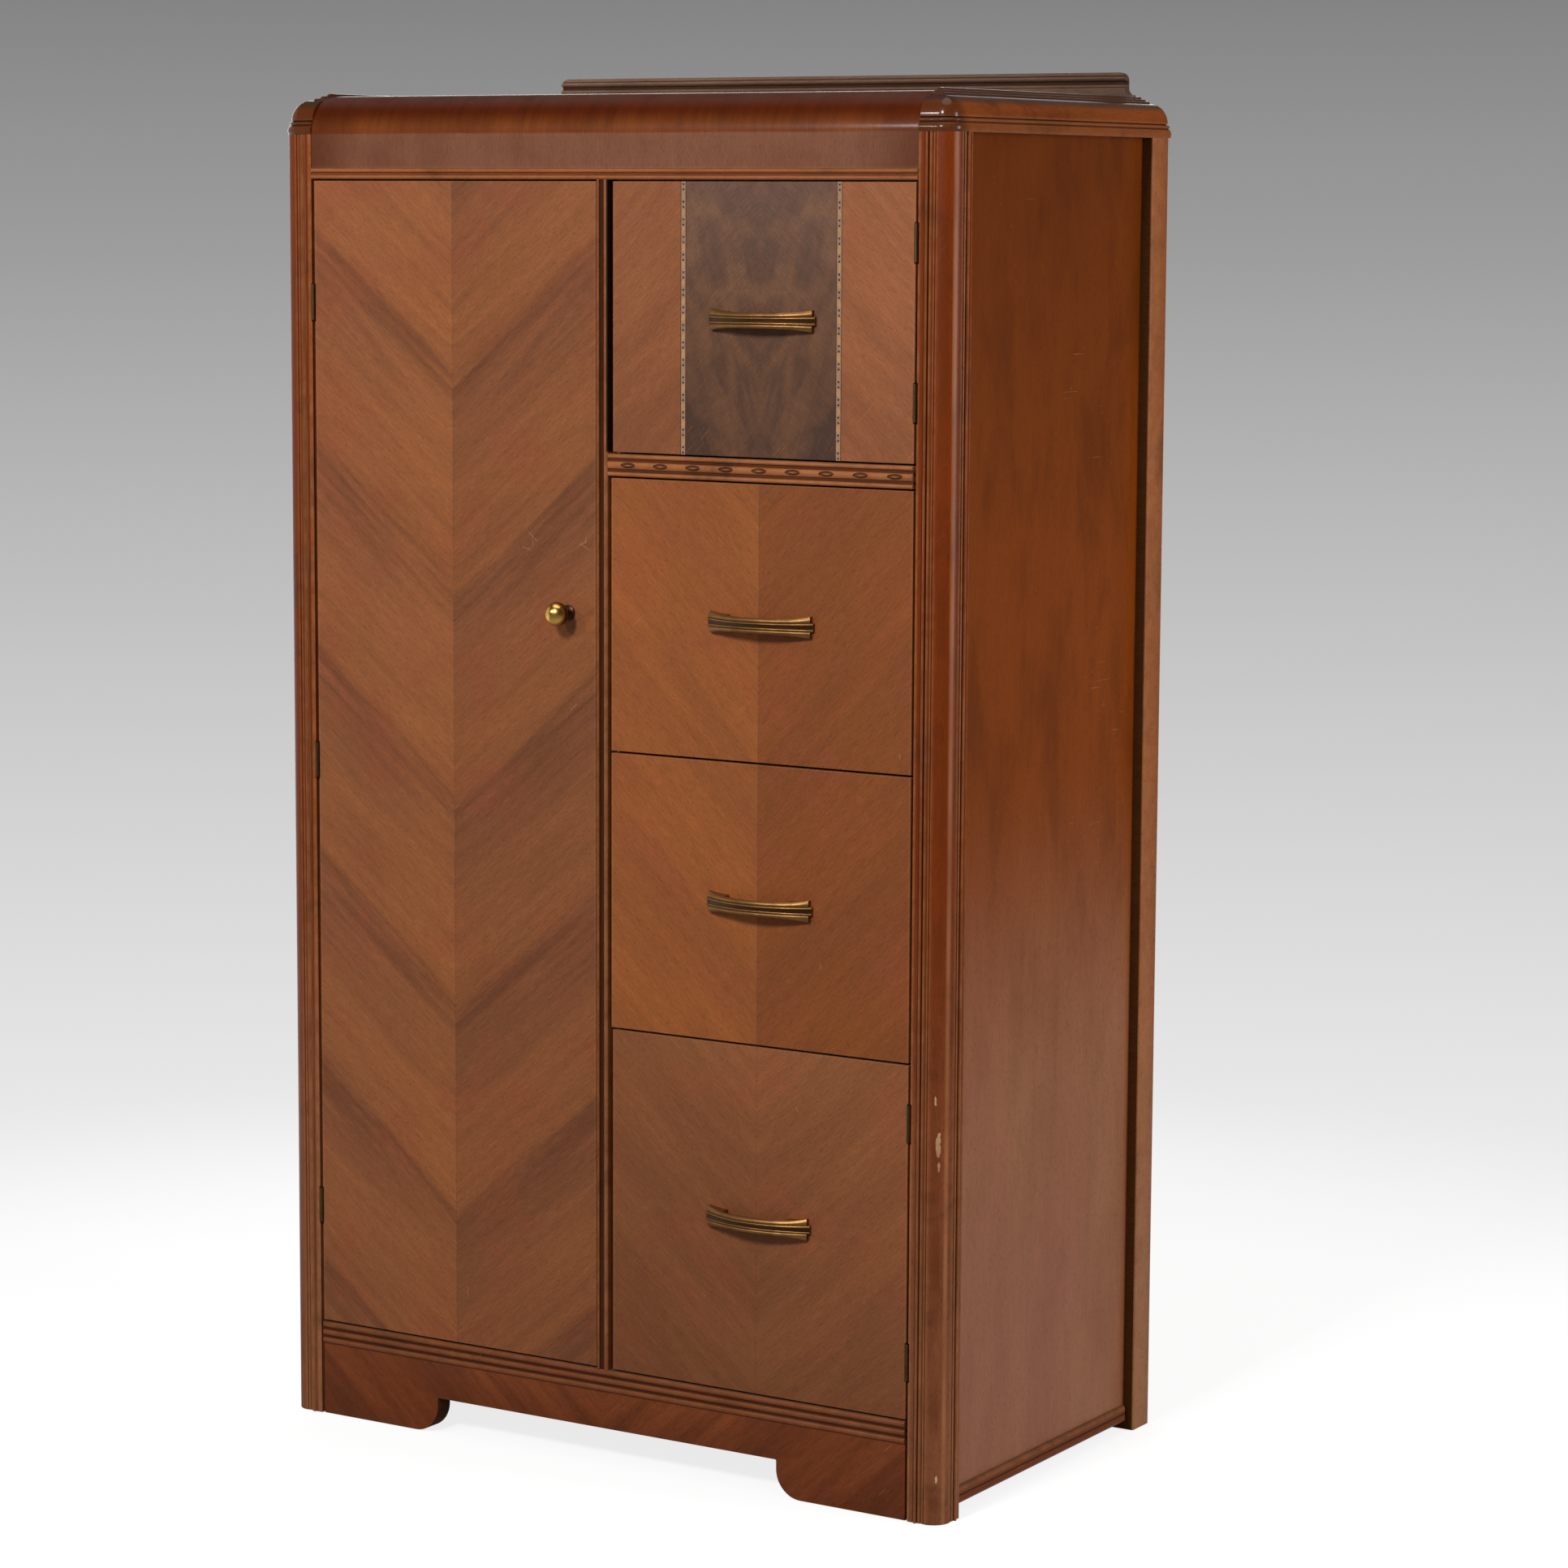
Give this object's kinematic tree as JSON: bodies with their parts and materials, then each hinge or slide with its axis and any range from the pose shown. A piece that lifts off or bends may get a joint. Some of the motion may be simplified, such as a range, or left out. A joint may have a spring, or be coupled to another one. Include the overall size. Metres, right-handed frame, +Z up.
{
  "type": "chifforobe",
  "caption": "Waterfall-front chifforobe: tall hanging wardrobe beside a small cupboard, drawers and a lower cupboard, with veneered doors, reeded corner posts and bracket feet.",
  "frame": {"origin": "middle of the whole object's bounding box, at the floor", "axes": "+Z up, +X to the right as seen from the front, the front faces -Y"},
  "size_m": [0.919, 0.5494, 1.6265],
  "materials": {
    "figured_veneer": "semi-gloss lacquered figured veneer",
    "dark_moulding_wood": "dark red-brown stained and lacquered hardwood",
    "side_veneer": "orange-brown lacquered straight-grained veneer",
    "inside_wood": "plain unfinished secondary wood",
    "rod_wood": "turned hardwood with a light finish",
    "aged_brass": "polished brass with a darkened ground",
    "plain_steel": "plain bright steel"
  },
  "bodies": {
    "carcass": {"apron": "figured_veneer", "back_panel": "inside_wood", "base_moulding": "dark_moulding_wood", "bottom_board": "inside_wood", "carved_rail": "dark_moulding_wood", "catch_clips": "plain_steel", "centre_moulding": "dark_moulding_wood", "centre_partition": "inside_wood", "corner_blocks": "inside_wood", "cupboard_floor": "inside_wood", "drawer_deck": "inside_wood", "drawer_rail": "inside_wood", "drawer_runners": "inside_wood", "frame_hinge_leaves": "aged_brass", "frame_screws": "plain_steel", "frieze_moulding": "dark_moulding_wood", "front_post_left": "dark_moulding_wood", "front_post_right": "dark_moulding_wood", "gallery_rail": "dark_moulding_wood", "hanging_rod": "rod_wood", "hinge_pins": "aged_brass", "rear_post_left": "dark_moulding_wood", "rear_post_right": "dark_moulding_wood", "rear_rail": "inside_wood", "rod_sockets": "plain_steel", "side_base_moulding_left": "dark_moulding_wood", "side_base_moulding_right": "dark_moulding_wood", "side_panel_left": "side_veneer", "side_panel_right": "side_veneer", "top_cap_left": "dark_moulding_wood", "top_cap_right": "dark_moulding_wood", "top_rail": "inside_wood", "waterfall_top": "figured_veneer"},
    "tall_door_body": {"tall_door": "figured_veneer", "tall_door_hinge_leaves": "aged_brass", "tall_door_screws": "plain_steel"},
    "knob_body": {"door_knob": "aged_brass", "turn_latch": "plain_steel"},
    "upper_door_body": {"upper_door": "figured_veneer", "upper_door_hinge_leaves": "aged_brass", "upper_door_pull": "aged_brass", "upper_door_fixings": "plain_steel", "upper_door_strike": "plain_steel"},
    "lower_door_body": {"lower_door": "figured_veneer", "lower_door_hinge_leaves": "aged_brass", "lower_door_pull": "aged_brass", "lower_door_fixings": "plain_steel", "lower_door_strike": "plain_steel"},
    "upper_drawer_body": {"upper_drawer_front": "figured_veneer", "upper_drawer_sides": "inside_wood", "upper_drawer_back": "inside_wood", "upper_drawer_bottom": "inside_wood", "upper_drawer_pull": "aged_brass", "upper_drawer_pull_bolts": "plain_steel"},
    "lower_drawer_body": {"lower_drawer_front": "figured_veneer", "lower_drawer_sides": "inside_wood", "lower_drawer_back": "inside_wood", "lower_drawer_bottom": "inside_wood", "lower_drawer_pull": "aged_brass", "lower_drawer_pull_bolts": "plain_steel"}
  },
  "joints": [
    {"name": "tall_door_swing", "type": "hinge", "parent": "carcass", "child": "tall_door_body", "pos_m": [-0.413, -0.2387, 0.80625], "axis": [0, 0, -1], "range_deg": [0, 110]},
    {"name": "knob_turn", "type": "hinge", "parent": "tall_door_body", "child": "knob_body", "pos_m": [-0.047, -0.2377, 1.003], "axis": [0, -1, 0], "range_deg": [0, 90]},
    {"name": "upper_door_swing", "type": "hinge", "parent": "carcass", "child": "upper_door_body", "pos_m": [0.413, -0.2387, 1.34275], "axis": [0, 0, 1], "range_deg": [0, 110]},
    {"name": "lower_door_swing", "type": "hinge", "parent": "carcass", "child": "lower_door_body", "pos_m": [0.413, -0.2387, 0.31925], "axis": [0, 0, 1], "range_deg": [0, 110]},
    {"name": "upper_drawer_slide", "type": "slide", "parent": "carcass", "child": "upper_drawer_body", "axis": [0, -1, 0], "range_m": [0, 0.34]},
    {"name": "lower_drawer_slide", "type": "slide", "parent": "carcass", "child": "lower_drawer_body", "axis": [0, -1, 0], "range_m": [0, 0.34]}
  ]
}
